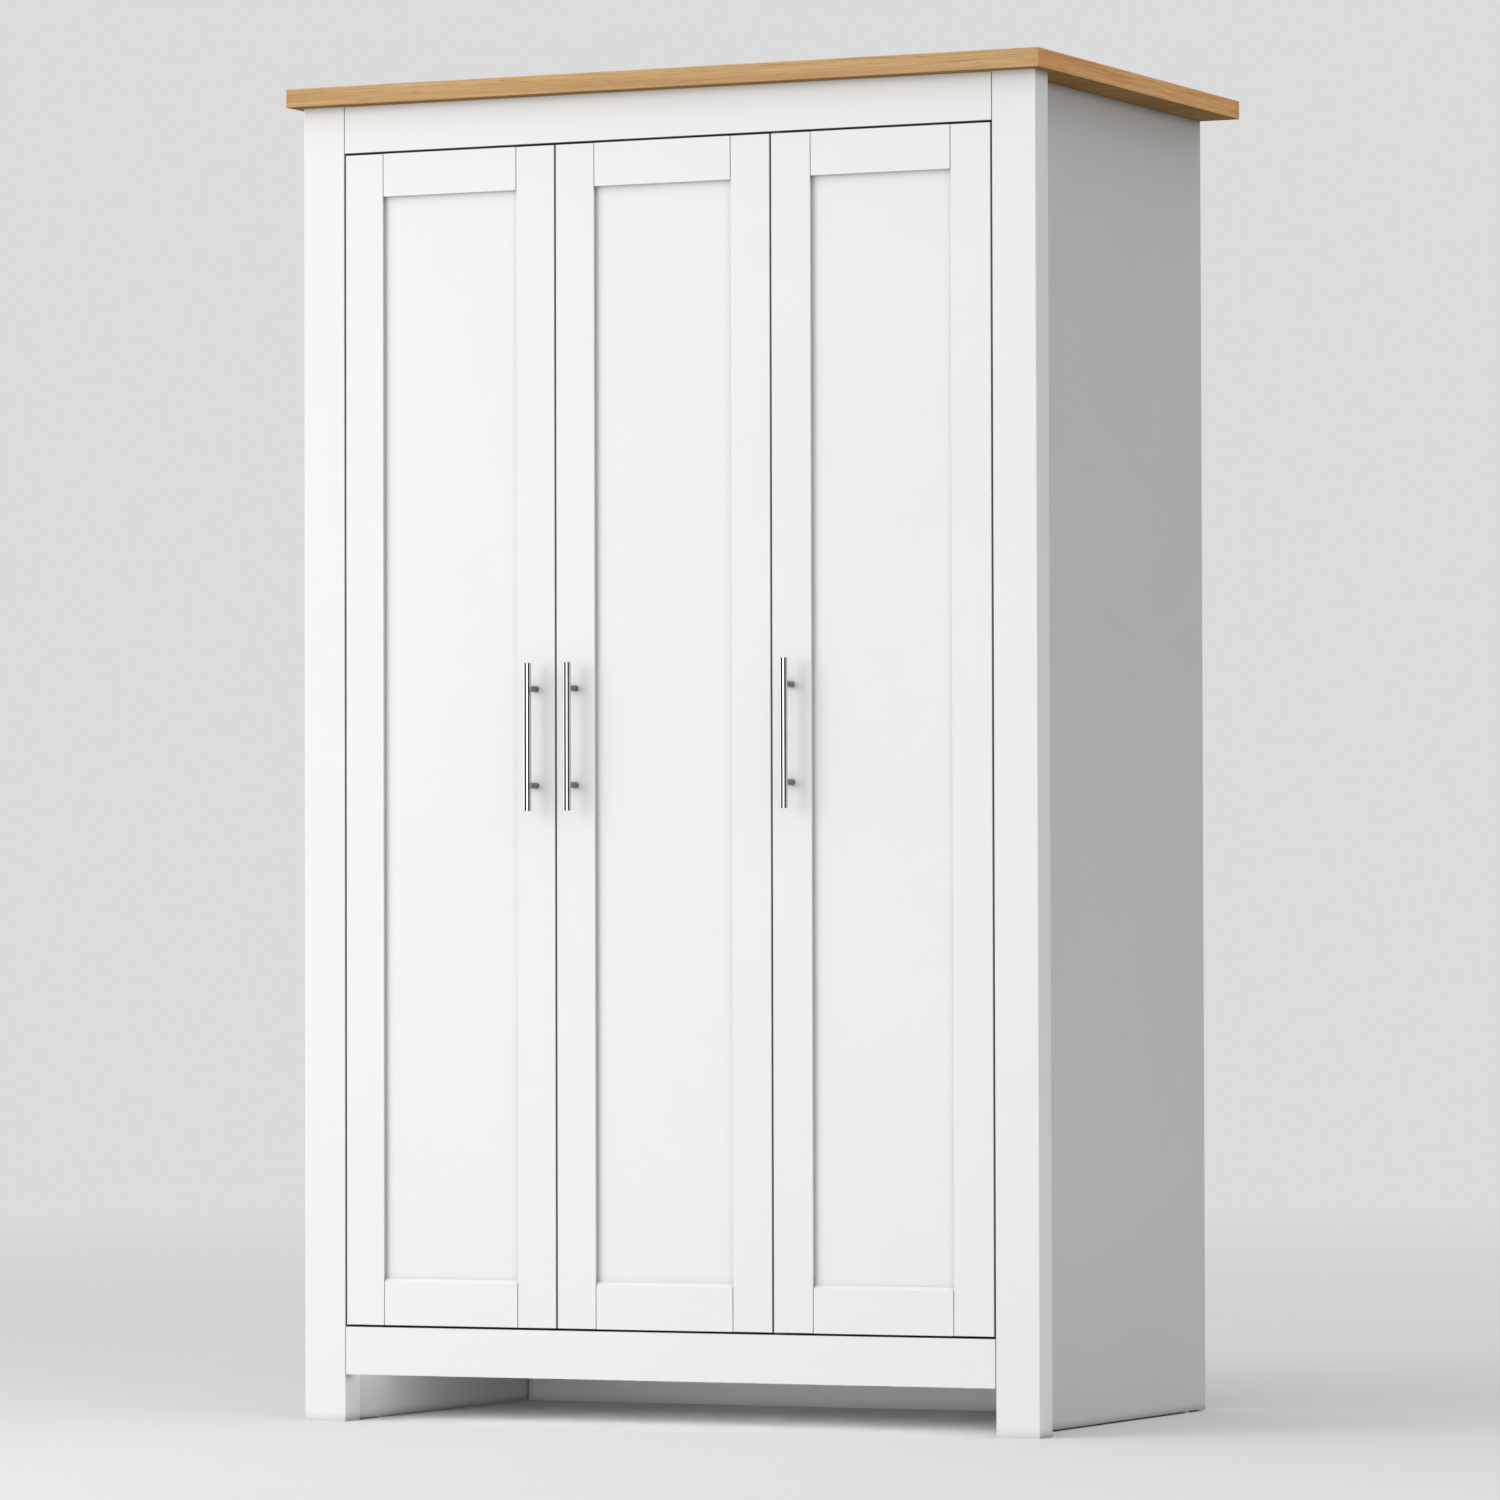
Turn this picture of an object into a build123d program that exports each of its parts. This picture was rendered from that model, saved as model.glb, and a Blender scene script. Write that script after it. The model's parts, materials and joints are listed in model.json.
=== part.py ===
from build123d import *
from math import acos, asin, degrees, sqrt
import os

os.makedirs("parts", exist_ok=True)

# A three-door wardrobe: oak-faced top board, square front posts, three framed inset doors with bar
# handles, a double hanging bay on the left and a single shelved bay on the right.
# Millimetres. X runs to the right, the doors face -Y, Z is up and the floor is z = 0.
# The origin is on the floor, below the middle of the closed wardrobe with its handles.

# ---- Carcass sizes ----
width_over_posts = 1069.0
carcass_height = 1762.4        # floor to the underside of the top board
carcass_depth = 680.0          # front of the posts to the back edges of the side panels
panel_thickness = 18.0         # side panels, partition, base, shelves and rails
post_width = 61.0
post_depth = 42.0
post_round = 1.0
board_thickness = 25.0
board_side_overhang = 14.6
board_front_overhang = 24.3
board_round = 1.2
top_rail_height = 62.9
bottom_rail_height = 63.5
bottom_rail_floor_gap = 63.0
bottom_rail_round = 3.0        # the rounded top front edge of the bottom rail
edge_round = 0.8               # eased edges of the other boards
glide_height = 2.0
glide_diameter = 16.0
glide_end_distance = 60.0
skirting_space = 117.0         # back of the rear plinth to the wall
rear_rail_height = 80.0
back_panel_thickness = 3.0
back_panel_inset = 12.0        # the back panels stand this far in from the back edges
back_groove_depth = 6.0
back_groove_clearance = 0.3
back_panel_joint_gap = 0.6
thin_panel_round = 0.3

# ---- Interior sizes ----
partition_door_gap = 2.0       # backs of the doors to the front edge of the partition
shelf_door_gap = 6.0
shelf_side_clearance = 0.5
shelf_count = 4
hat_space_height = 304.0       # hat shelf to the top board
hanging_rail_drop = 60.0       # underside of the hat shelf to the rail's centre
hanging_rail_diameter = 25.0
hanging_rail_wall = 1.2
socket_flange_diameter = 40.0
socket_flange_thickness = 3.0
socket_ring_wall = 2.5
socket_ring_length = 12.0
socket_clearance = 0.1
pin_diameter = 5.0
pin_clearance = 0.1
pin_seat = 10.0                # length of a shelf pin inside its panel
pin_reach = 8.0                # length of a shelf pin under the shelf
pin_edge_distance = 70.0
pin_step = 32.0                # from each pin to its spare holes
cam_diameter = 15.0
cam_depth = 12.5
cam_clearance = 0.1
cam_side_distance = 34.0
cam_end_distance = 90.0
cam_slot_width = 1.6
cam_slot_length = 9.0
cam_slot_depth = 2.0
bracket_width = 22.0
bracket_leg = 42.0
bracket_thickness = 2.0
bracket_hole_diameter = 5.5
bracket_hole_distance = 26.0   # corner of the bracket to the centre of each hole
wall_hole_diameter = 8.0       # the wider hole behind the bracket, through rail and back panel
nail_spacing = 160.0
nail_head_diameter = 5.0
nail_head_thickness = 0.8
nail_shank_diameter = 1.6
nail_length = 16.0

# ---- Door sizes ----
door_count = 3
door_thickness = 18.0
door_side_gap = 2.6            # between doors, and between a door and a post
door_end_gap = 3.0             # above and below each door
stile_width = 56.0
door_rail_height = 57.5        # flat face of a door rail, from the door's end
sill_height = 5.0              # rise of the bottom door rail's sloping top edge
sill_land = 1.0                # level strip between that slope and the panel
recess_depth = 7.0             # frame face to panel face
door_panel_thickness = 6.0
panel_groove_depth = 8.0
panel_groove_clearance = 0.2
panel_edge_clearance = 0.6
joint_groove_width = 1.0       # the fine groove where a rail meets a stile or a post
joint_groove_depth = 2.0
door_edge_round = 0.8
inner_edge_round = 0.5         # eased edge of a stile beside the panel

# ---- Handle sizes ----
handle_centres = 128.0
handle_length = 196.5
handle_diameter = 11.0
handle_leg_diameter = 8.5
handle_standoff = 26.5         # door face to the bar's axis
handle_leg_seat = 2.5          # how deep a leg sits in the bar
handle_bore_clearance = 0.05
handle_end_chamfer = 0.6
handle_height = 910.7          # floor to the middle of the bar
screw_diameter = 4.0
screw_hole_clearance = 0.25
screw_grip = 10.0              # thread inside a handle leg
screw_head_diameter = 8.0
screw_head_thickness = 2.2
screw_slot_width = 1.0
screw_slot_depth = 0.9

# ---- Hinge sizes ----
# Each door turns about the vertical line along its front corner. Distances in a hinge are measured
# from that line: across the door, and back from the door's face. Seen from above, the links are
# bars curved about the line, between the cheeks of the arm and the bracket in the cup.
hinge_end_distance = 100.0     # door's end to the nearest hinge
cup_diameter = 35.0
cup_depth = 11.5
cup_centre_distance = 22.5     # door's edge to the centre of the cup
cup_wall = 1.2
cup_clearance = 0.1
cup_flange_width = 1.5
cup_flange_thickness = 1.2
cup_ear_length = 62.0
cup_ear_width = 13.0
cup_ear_offset = 6.0
cup_screw_distance = 24.0
cup_screw_head_diameter = 7.0
cup_screw_head_thickness = 1.4
cup_screw_length = 11.0
link_radius = 30.0
link_thickness = 3.0
link_half_height = 5.5
link_cup_clearance = 0.8       # links to the cup's floor, with the door shut
link_board_clearance = 1.0     # links to the partition, with the door shut
cheek_gap = 1.0                # link to the arm's cheeks, and cheeks to the cup's bracket
cheek_thickness = 1.5
arm_width = 6.3
arm_plate_clearance = 0.5
arm_cup_clearance = 4.8        # cup's flange to the front of the arm's straight stretch
arm_web_clearance = 1.9        # links to the arm's web
arm_end_distance = 10.0        # arm's screw to the arm's back end
plate_thickness = 3.0
plate_height = 46.0
plate_length = 20.0
plate_post_distance = 8.0      # back of the post to the plate
plate_block_post_clearance = 2.0
plate_block_clearance = 0.3
plate_screw_distance = 16.0
plate_screw_diameter = 4.0
plate_screw_head_diameter = 8.0
plate_screw_head_thickness = 1.6
plate_screw_length = 15.0
arm_screw_diameter = 6.0

# ---- Places that follow from the sizes ----
handle_reach = handle_standoff + handle_diameter / 2
front = (max(handle_reach, board_front_overhang) - carcass_depth) / 2
back = front + carcass_depth
doors_back = front + door_thickness
half_width = width_over_posts / 2
opening_edge = half_width - post_width
side_face = opening_edge + panel_thickness

base_top = bottom_rail_floor_gap + bottom_rail_height
base_bottom = base_top - panel_thickness
top_rail_bottom = carcass_height - top_rail_height
door_bottom = base_top + door_end_gap
door_top = top_rail_bottom - door_end_gap
door_width = (2 * opening_edge - (door_count + 1) * door_side_gap) / door_count
door_pitch = door_width + door_side_gap
first_door_left = -opening_edge + door_side_gap

back_panel_back = back - back_panel_inset
back_panel_front = back_panel_back - back_panel_thickness
rear_rail_front = back_panel_front - panel_thickness
partition_centre = -opening_edge + door_side_gap / 2 + 2 * door_pitch
partition_left = partition_centre - panel_thickness / 2
partition_right = partition_centre + panel_thickness / 2
partition_front = doors_back + partition_door_gap
partition_reach = (panel_thickness - door_side_gap) / 2     # past the middle door's hinge line

shelf_front = doors_back + shelf_door_gap
shelf_pitch = (carcass_height - base_top) / (shelf_count + 1)
shelf_bottoms = [base_top + (i + 1) * shelf_pitch - panel_thickness for i in range(shelf_count)]
pin_places = [shelf_front + pin_edge_distance, back_panel_front - pin_edge_distance]
hat_shelf_top = carcass_height - hat_space_height
hat_shelf_bottom = hat_shelf_top - panel_thickness
hanging_rail_height = hat_shelf_bottom - hanging_rail_drop
hanging_rail_place = (shelf_front + back_panel_front) / 2
bracket_places = [(partition_left - opening_edge) / 2, (partition_right + opening_edge) / 2]
wall_hole_height = carcass_height - bracket_hole_distance
hinge_heights = [
    door_bottom + hinge_end_distance,
    (door_bottom + door_top) / 2,
    door_top - hinge_end_distance,
]

arm_near = partition_reach + plate_thickness + arm_plate_clearance
arm_far = arm_near + arm_width
web_near = arm_far - cheek_thickness
arm_front = door_thickness + cup_flange_thickness + arm_cup_clearance
arm_web_front = sqrt((link_radius + link_thickness / 2) ** 2 - web_near**2) + arm_web_clearance
plate_front = post_depth + plate_post_distance
plate_block_front = post_depth + plate_block_post_clearance
arm_screw_back = plate_front + plate_length
arm_back = arm_screw_back + arm_end_distance
link_first_depth = door_thickness - cup_depth + cup_wall + link_cup_clearance + link_thickness / 2
link_last_reach = partition_reach + link_board_clearance + link_thickness / 2
link_first_angle = degrees(asin(link_first_depth / link_radius))
link_last_angle = degrees(acos(link_last_reach / link_radius))


def finish(piece, name):
    """Labels a finished piece and writes it."""
    piece.part.label = name
    export_step(piece.part, f"parts/{name}.step")


def board(x, y, z, rounding=edge_round):
    """A board between two faces along each axis, with eased edges."""
    with BuildPart() as piece:
        with BuildSketch(Plane.XY.offset(z[0])):
            with Locations(((x[0] + x[1]) / 2, (y[0] + y[1]) / 2)):
                Rectangle(x[1] - x[0], y[1] - y[0])
        extrude(amount=z[1] - z[0])
        fillet(piece.edges(), rounding)
    return piece


def facing(x, y, z, direction):
    """A plane at a point on a face, with the face's outward direction."""
    return Plane(origin=(x, y, z), z_dir=direction)


# ---- Cam locks: where each one sits, by the board that holds it ----
rail_cam_x = opening_edge - cam_side_distance
hat_shelf_middle = (partition_left - opening_edge) / 2
hat_shelf_cam_reach = (partition_left + opening_edge) / 2 - cam_side_distance
cam_ys = [doors_back + cam_end_distance, back_panel_front - cam_end_distance]
top_rail_cams = [
    facing(side * rail_cam_x, doors_back, (top_rail_bottom + carcass_height) / 2, (0, 1, 0))
    for side in (-1, 1)
]
bottom_rail_cams = [
    facing(side * rail_cam_x, doors_back, (bottom_rail_floor_gap + base_bottom) / 2, (0, 1, 0))
    for side in (-1, 1)
]
base_cams = [facing(side * rail_cam_x, y, base_bottom, (0, 0, -1)) for side in (-1, 1) for y in cam_ys]
hat_shelf_cams = [
    facing(hat_shelf_middle + side * hat_shelf_cam_reach, y, hat_shelf_bottom, (0, 0, -1))
    for side in (-1, 1)
    for y in cam_ys
]
cam_hole_radius = cam_diameter / 2 + cam_clearance

# ---- Top board ----
top_board = board(
    (-half_width - board_side_overhang, half_width + board_side_overhang),
    (front - board_front_overhang, back),
    (carcass_height, carcass_height + board_thickness),
    board_round,
)
finish(top_board, "top_board")

# ---- Front posts and side panels ----
pin_hole_points = [
    (y, bottom - pin_diameter / 2 + step)
    for y in pin_places
    for bottom in shelf_bottoms
    for step in (-pin_step, 0, pin_step)
]
back_groove_width = back_panel_thickness + back_groove_clearance

for side, side_name in ((-1, "left"), (1, "right")):
    with BuildPart() as post:
        with BuildSketch():
            with Locations((side * (half_width - post_width / 2), front + post_depth / 2)):
                RectangleRounded(post_width, post_depth, post_round)
        extrude(amount=carcass_height)
    finish(post, f"{side_name}_front_post")

    with BuildPart() as side_panel:
        add(board(
            sorted((side * opening_edge, side * side_face)),
            (front + post_depth, back),
            (glide_height, carcass_height),
        ).part)
        with BuildSketch(Plane.XY.offset(glide_height)):
            with Locations((
                side * (opening_edge + back_groove_depth / 2),
                back_panel_front + back_groove_width / 2,
            )):
                Rectangle(back_groove_depth, back_groove_width)
        extrude(amount=carcass_height, mode=Mode.SUBTRACT)
        if side_name == "right":
            with BuildSketch(Plane.YZ.offset(opening_edge)):
                with Locations(*pin_hole_points):
                    Circle(pin_diameter / 2 + pin_clearance)
            extrude(amount=pin_seat, mode=Mode.SUBTRACT)
    finish(side_panel, f"{side_name}_side_panel")

with BuildPart() as floor_glides:
    with BuildSketch():
        for side in (-1, 1):
            for y in (front + post_depth + glide_end_distance, back - glide_end_distance):
                with Locations((side * (opening_edge + panel_thickness / 2), y)):
                    Circle(glide_diameter / 2)
    extrude(amount=glide_height)
finish(floor_glides, "floor_glides")

# ---- Front rails ----
def joint_grooves(bottom, top):
    """The space of the fine grooves where a front rail meets the two posts."""
    with BuildPart() as space:
        with Locations(*[(side * opening_edge, front, (bottom + top) / 2) for side in (-1, 1)]):
            Box(2 * joint_groove_width, 2 * joint_groove_depth, top - bottom)
    return space


with BuildPart() as top_front_rail:
    add(board((-opening_edge, opening_edge), (front, doors_back), (top_rail_bottom, carcass_height)).part)
    add(joint_grooves(top_rail_bottom, carcass_height).part, mode=Mode.SUBTRACT)
    with Locations(*top_rail_cams):
        Hole(cam_hole_radius, cam_depth)
finish(top_front_rail, "top_front_rail")

with BuildPart() as bottom_front_rail:
    with BuildSketch(Plane.YZ.offset(-opening_edge)):
        with Locations(((front + doors_back) / 2, (bottom_rail_floor_gap + base_top) / 2)):
            section = Rectangle(door_thickness, bottom_rail_height)
        front_corners = section.vertices().group_by(Axis.Y)[0].sort_by(Axis.Z)
        fillet(front_corners[1], bottom_rail_round)
        fillet(front_corners[0], edge_round)
    extrude(amount=2 * opening_edge)
    add(joint_grooves(bottom_rail_floor_gap, base_top).part, mode=Mode.SUBTRACT)
    with Locations(*bottom_rail_cams):
        Hole(cam_hole_radius, cam_depth)
finish(bottom_front_rail, "bottom_front_rail")

# ---- Base, partition, plinth and rear rail ----
with BuildPart() as base_panel:
    add(board((-opening_edge, opening_edge), (doors_back, back_panel_front), (base_bottom, base_top)).part)
    with Locations(*base_cams):
        Hole(cam_hole_radius, cam_depth)
finish(base_panel, "base_panel")

with BuildPart() as centre_partition:
    add(board(
        (partition_left, partition_right),
        (partition_front, back_panel_front),
        (base_top, carcass_height),
    ).part)
    with BuildSketch(Plane.YZ.offset(partition_left)):
        with Locations((
            (rear_rail_front + back_panel_front) / 2,
            carcass_height - rear_rail_height / 2,
        )):
            Rectangle(panel_thickness, rear_rail_height)
    extrude(amount=panel_thickness, mode=Mode.SUBTRACT)
    with BuildSketch(Plane.YZ.offset(partition_right)):
        with Locations(*pin_hole_points):
            Circle(pin_diameter / 2 + pin_clearance)
    extrude(amount=-pin_seat, mode=Mode.SUBTRACT)
finish(centre_partition, "centre_partition")

plinth_back = back - skirting_space
rear_plinth = board(
    (-opening_edge, opening_edge),
    (plinth_back - panel_thickness, plinth_back),
    (0, base_bottom),
)
finish(rear_plinth, "rear_plinth")

with BuildPart() as rear_top_rail:
    add(board(
        (-opening_edge, opening_edge),
        (rear_rail_front, back_panel_front),
        (carcass_height - rear_rail_height, carcass_height),
    ).part)
    with Locations(*[facing(x, rear_rail_front, wall_hole_height, (0, -1, 0)) for x in bracket_places]):
        Hole(wall_hole_diameter / 2)
finish(rear_top_rail, "rear_top_rail")

# ---- Back panels ----
back_panel_reach = opening_edge + back_groove_depth - panel_edge_clearance
for side, side_name in ((-1, "left"), (1, "right")):
    outer_edge = side * back_panel_reach
    joint_edge = partition_centre + side * back_panel_joint_gap / 2
    with BuildPart() as back_panel:
        add(board(
            sorted((outer_edge, joint_edge)),
            (back_panel_front, back_panel_back),
            (base_bottom, carcass_height),
            thin_panel_round,
        ).part)
        bracket_x = bracket_places[0] if side_name == "left" else bracket_places[1]
        with Locations(facing(bracket_x, back_panel_back, wall_hole_height, (0, 1, 0))):
            Hole(wall_hole_diameter / 2)
    finish(back_panel, f"{side_name}_back_panel")

# ---- Shelves, pins and hanging rail ----
with BuildPart() as hat_shelf:
    add(board(
        (-opening_edge, partition_left),
        (shelf_front, back_panel_front),
        (hat_shelf_bottom, hat_shelf_top),
    ).part)
    with Locations(*hat_shelf_cams):
        Hole(cam_hole_radius, cam_depth)
finish(hat_shelf, "hat_shelf")

for i, bottom in enumerate(shelf_bottoms):
    shelf = board(
        (partition_right + shelf_side_clearance, opening_edge - shelf_side_clearance),
        (shelf_front, back_panel_front),
        (bottom, bottom + panel_thickness),
    )
    finish(shelf, f"shelf_{i + 1}")

with BuildPart() as shelf_pins:
    for x in (partition_right - pin_seat, opening_edge - pin_reach):
        with BuildSketch(Plane.YZ.offset(x)):
            for bottom in shelf_bottoms:
                with Locations(*[(y, bottom - pin_diameter / 2) for y in pin_places]):
                    Circle(pin_diameter / 2)
        extrude(amount=pin_seat + pin_reach)
finish(shelf_pins, "shelf_pins")

rail_radius = hanging_rail_diameter / 2
with BuildPart() as hanging_rail:
    with BuildSketch(Plane.YZ.offset(-opening_edge + socket_flange_thickness)):
        with Locations((hanging_rail_place, hanging_rail_height)):
            Circle(rail_radius)
            Circle(rail_radius - hanging_rail_wall, mode=Mode.SUBTRACT)
    extrude(amount=partition_left + opening_edge - 2 * socket_flange_thickness)
finish(hanging_rail, "hanging_rail")

with BuildPart() as hanging_rail_sockets:
    for x, direction in ((-opening_edge, 1), (partition_left, -1)):
        with BuildSketch(Plane.YZ.offset(x)):
            with Locations((hanging_rail_place, hanging_rail_height)):
                Circle(socket_flange_diameter / 2)
        extrude(amount=direction * socket_flange_thickness)
        with BuildSketch(Plane.YZ.offset(x + direction * socket_flange_thickness)):
            with Locations((hanging_rail_place, hanging_rail_height)):
                Circle(rail_radius + socket_clearance + socket_ring_wall)
                Circle(rail_radius + socket_clearance, mode=Mode.SUBTRACT)
        extrude(amount=direction * (socket_ring_length - socket_flange_thickness))
finish(hanging_rail_sockets, "hanging_rail_sockets")

# ---- Cam locks, wall brackets and nails ----
cam_planes = top_rail_cams + bottom_rail_cams + base_cams + hat_shelf_cams
with BuildPart() as cam_locks:
    for plane in cam_planes:
        with BuildSketch(plane):
            Circle(cam_diameter / 2)
        extrude(amount=-cam_depth)
        with BuildSketch(plane):
            Rectangle(cam_slot_length, cam_slot_width)
            Rectangle(cam_slot_width, cam_slot_length)
        extrude(amount=-cam_slot_depth, mode=Mode.SUBTRACT)
finish(cam_locks, "cam_locks")

with BuildPart() as wall_brackets:
    for x in bracket_places:
        with BuildSketch(Plane.YZ.offset(x - bracket_width / 2)):
            with BuildLine():
                Polyline(
                    (rear_rail_front, carcass_height),
                    (rear_rail_front - bracket_leg, carcass_height),
                    (rear_rail_front - bracket_leg, carcass_height - bracket_thickness),
                    (rear_rail_front - bracket_thickness, carcass_height - bracket_thickness),
                    (rear_rail_front - bracket_thickness, carcass_height - bracket_leg),
                    (rear_rail_front, carcass_height - bracket_leg),
                    close=True,
                )
            make_face()
        extrude(amount=bracket_width)
        with Locations(
            facing(x, rear_rail_front, wall_hole_height, (0, -1, 0)),
            facing(x, rear_rail_front - bracket_hole_distance, carcass_height, (0, 0, 1)),
        ):
            Hole(bracket_hole_diameter / 2, 2 * bracket_thickness)
finish(wall_brackets, "wall_brackets")

nail_rows = int(2 * opening_edge / nail_spacing)
nail_row_step = 2 * opening_edge / nail_rows
nail_columns = int((carcass_height - rear_rail_height - base_top) / nail_spacing)
nail_column_step = (carcass_height - rear_rail_height - base_top) / nail_columns
nail_xs = [-opening_edge + (i + 0.5) * nail_row_step for i in range(nail_rows)]
nail_zs = [base_top + (i + 0.5) * nail_column_step for i in range(nail_columns)]
nail_points = [(x, (base_bottom + base_top) / 2) for x in nail_xs]
nail_points += [(x, carcass_height - rear_rail_height / 2) for x in nail_xs]
nail_points += [(partition_centre + side * panel_thickness / 4, z) for z in nail_zs for side in (-1, 1)]
with BuildPart() as back_panel_nails:
    with Locations(*[facing(x, back_panel_back, z, (0, 1, 0)) for x, z in nail_points]):
        Cylinder(nail_head_diameter / 2, nail_head_thickness, align=(Align.CENTER, Align.CENTER, Align.MIN))
        Cylinder(nail_shank_diameter / 2, nail_length, align=(Align.CENTER, Align.CENTER, Align.MAX))
finish(back_panel_nails, "back_panel_nails")

# ---- Hinges: pieces on the carcass and the links ----
link_path = CenterArc((0, 0), link_radius, link_first_angle, link_last_angle - link_first_angle)
cheek_inner = link_half_height + cheek_gap
cheek_outer = cheek_inner + cheek_thickness
bracket_inner = cheek_outer + cheek_gap


def hinge_plane(door_edge, inward, height):
    """Level plane at a door's hinge line: its X runs across the door and its Y back from the face."""
    return Plane(origin=(door_edge, front, height), x_dir=(inward, 0, 0), z_dir=(0, 0, inward))


def hinge_arms(door_edge, inward):
    """The arms on the carcass: a web with two cheeks, whose curved noses reach into the cups."""
    with BuildPart() as arms:
        for height in hinge_heights:
            plane = hinge_plane(door_edge, inward, height)
            for side in (-1, 1):
                with BuildSketch(plane.offset(side * cheek_inner)):
                    SlotArc(link_path, link_thickness)
                    with Locations(((arm_near + arm_far) / 2, (arm_front + arm_back) / 2)):
                        Rectangle(arm_far - arm_near, arm_back - arm_front)
                extrude(amount=side * cheek_thickness)
            with BuildSketch(plane.offset(-cheek_outer)):
                with Locations(((web_near + arm_far) / 2, (arm_web_front + arm_back) / 2)):
                    Rectangle(cheek_thickness, arm_back - arm_web_front)
            extrude(amount=2 * cheek_outer)
    return arms


def hinge_links(door_edge, inward):
    """The curved links between each arm and its cup."""
    with BuildPart() as links:
        for height in hinge_heights:
            with BuildSketch(hinge_plane(door_edge, inward, height)):
                SlotArc(link_path, link_thickness)
            extrude(amount=link_half_height, both=True)
    return links


def hinge_plate(plane, face):
    """A mounting plate on the carcass face, with the block that the arm is screwed to."""
    with BuildPart() as plate:
        with BuildSketch(plane):
            with Locations((face + plate_thickness / 2, plate_front + plate_length / 2)):
                Rectangle(plate_thickness, plate_length)
        extrude(amount=plate_height / 2, both=True)
        with BuildSketch(plane):
            with Locations(((face + web_near) / 2, (plate_block_front + arm_back) / 2)):
                Rectangle(web_near - face, arm_back - plate_block_front)
        extrude(amount=cheek_inner - plate_block_clearance, both=True)
    return plate


def screw(x, y, z, direction, diameter, length, head_diameter, head_thickness):
    """A screw whose head rests on a face, slotted across, with its shank behind the face."""
    with BuildPart() as piece:
        with BuildSketch(facing(x, y, z, direction)):
            Circle(head_diameter / 2)
        extrude(amount=head_thickness)
        with BuildSketch(facing(x, y, z, direction)):
            Circle(diameter / 2)
        extrude(amount=-length)
        with BuildSketch(facing(x, y, z, direction).offset(head_thickness)):
            Rectangle(head_diameter, screw_slot_width)
        extrude(amount=-screw_slot_depth, mode=Mode.SUBTRACT)
    return piece


# ---- Doors ----
def stile(door_edge, inward, handle_side):
    """A door's upright, drilled for the handle's screws or for the hinge cups."""
    inner_edge = door_edge + inward * stile_width
    with BuildPart() as upright:
        with BuildSketch(Plane.XY.offset(door_bottom)):
            with Locations((door_edge + inward * stile_width / 2, front + door_thickness / 2)):
                Rectangle(stile_width, door_thickness)
        extrude(amount=door_top - door_bottom)
        front_edges = upright.edges().group_by(Axis.Y)[0]
        front_edges_up = front_edges.filter_by(Axis.Z).sort_by(Axis.X, reverse=inward < 0)
        fillet([front_edges_up[0], *front_edges.filter_by(Axis.X)], door_edge_round)
        inner_corner = upright.edges().filter_by(Axis.Z).sort_by_distance((inner_edge, front, 0))[0]
        fillet(inner_corner, inner_edge_round)
        with BuildSketch(Plane.XY.offset(door_bottom)):
            with Locations((
                inner_edge - inward * panel_groove_depth / 2,
                front + recess_depth + (door_panel_thickness + panel_groove_clearance) / 2,
            )):
                Rectangle(panel_groove_depth, door_panel_thickness + panel_groove_clearance)
        extrude(amount=door_top - door_bottom, mode=Mode.SUBTRACT)
        if handle_side:
            x = door_edge + inward * stile_width / 2
            heights = (handle_height - handle_centres / 2, handle_height + handle_centres / 2)
            with Locations(*[facing(x, front, z, (0, -1, 0)) for z in heights]):
                Hole(screw_diameter / 2 + screw_hole_clearance)
        else:
            x = door_edge + inward * cup_centre_distance
            with Locations(*[facing(x, doors_back, z, (0, 1, 0)) for z in hinge_heights]):
                Hole(cup_diameter / 2, cup_depth)
    return upright


def door_rail(door_left, end, inward, slope_height):
    """A door's cross rail between its stiles, with a stub tenon in each stile's groove."""
    left = door_left + stile_width
    right = door_left + door_width - stile_width
    flat_edge = end + inward * door_rail_height
    inner_edge = flat_edge + inward * slope_height
    tenon_heights = (end + inward * door_edge_round, inner_edge - inward * panel_groove_depth)
    slope_top = [(front + recess_depth - sill_land, inner_edge)] if slope_height else []
    with BuildPart() as rail:
        with BuildSketch(Plane.YZ.offset(left)):
            with BuildLine():
                Polyline(
                    (front, end), (front, flat_edge), *slope_top, (doors_back, inner_edge), (doors_back, end),
                    close=True,
                )
            section = make_face()
            fillet(section.vertices().sort_by_distance((left, front, end))[0], door_edge_round)
            with Locations((
                front + recess_depth + (door_panel_thickness + panel_groove_clearance) / 2,
                inner_edge - inward * panel_groove_depth / 2,
            )):
                Rectangle(
                    door_panel_thickness + panel_groove_clearance, panel_groove_depth, mode=Mode.SUBTRACT
                )
        extrude(amount=right - left)
        for edge, across in ((left, 1), (right, -1)):
            with BuildSketch(Plane.XY.offset(min(end, inner_edge))):
                with Locations((edge, front)):
                    Rectangle(2 * joint_groove_width, 2 * joint_groove_depth)
            extrude(amount=abs(inner_edge - end), mode=Mode.SUBTRACT)
            tenon_reach = panel_groove_depth - panel_edge_clearance
            with BuildSketch(Plane.XY.offset(min(tenon_heights))):
                with Locations((
                    edge - across * tenon_reach / 2,
                    front + recess_depth + door_panel_thickness / 2,
                )):
                    Rectangle(tenon_reach, door_panel_thickness)
            extrude(amount=max(tenon_heights) - min(tenon_heights))
    return rail


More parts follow.
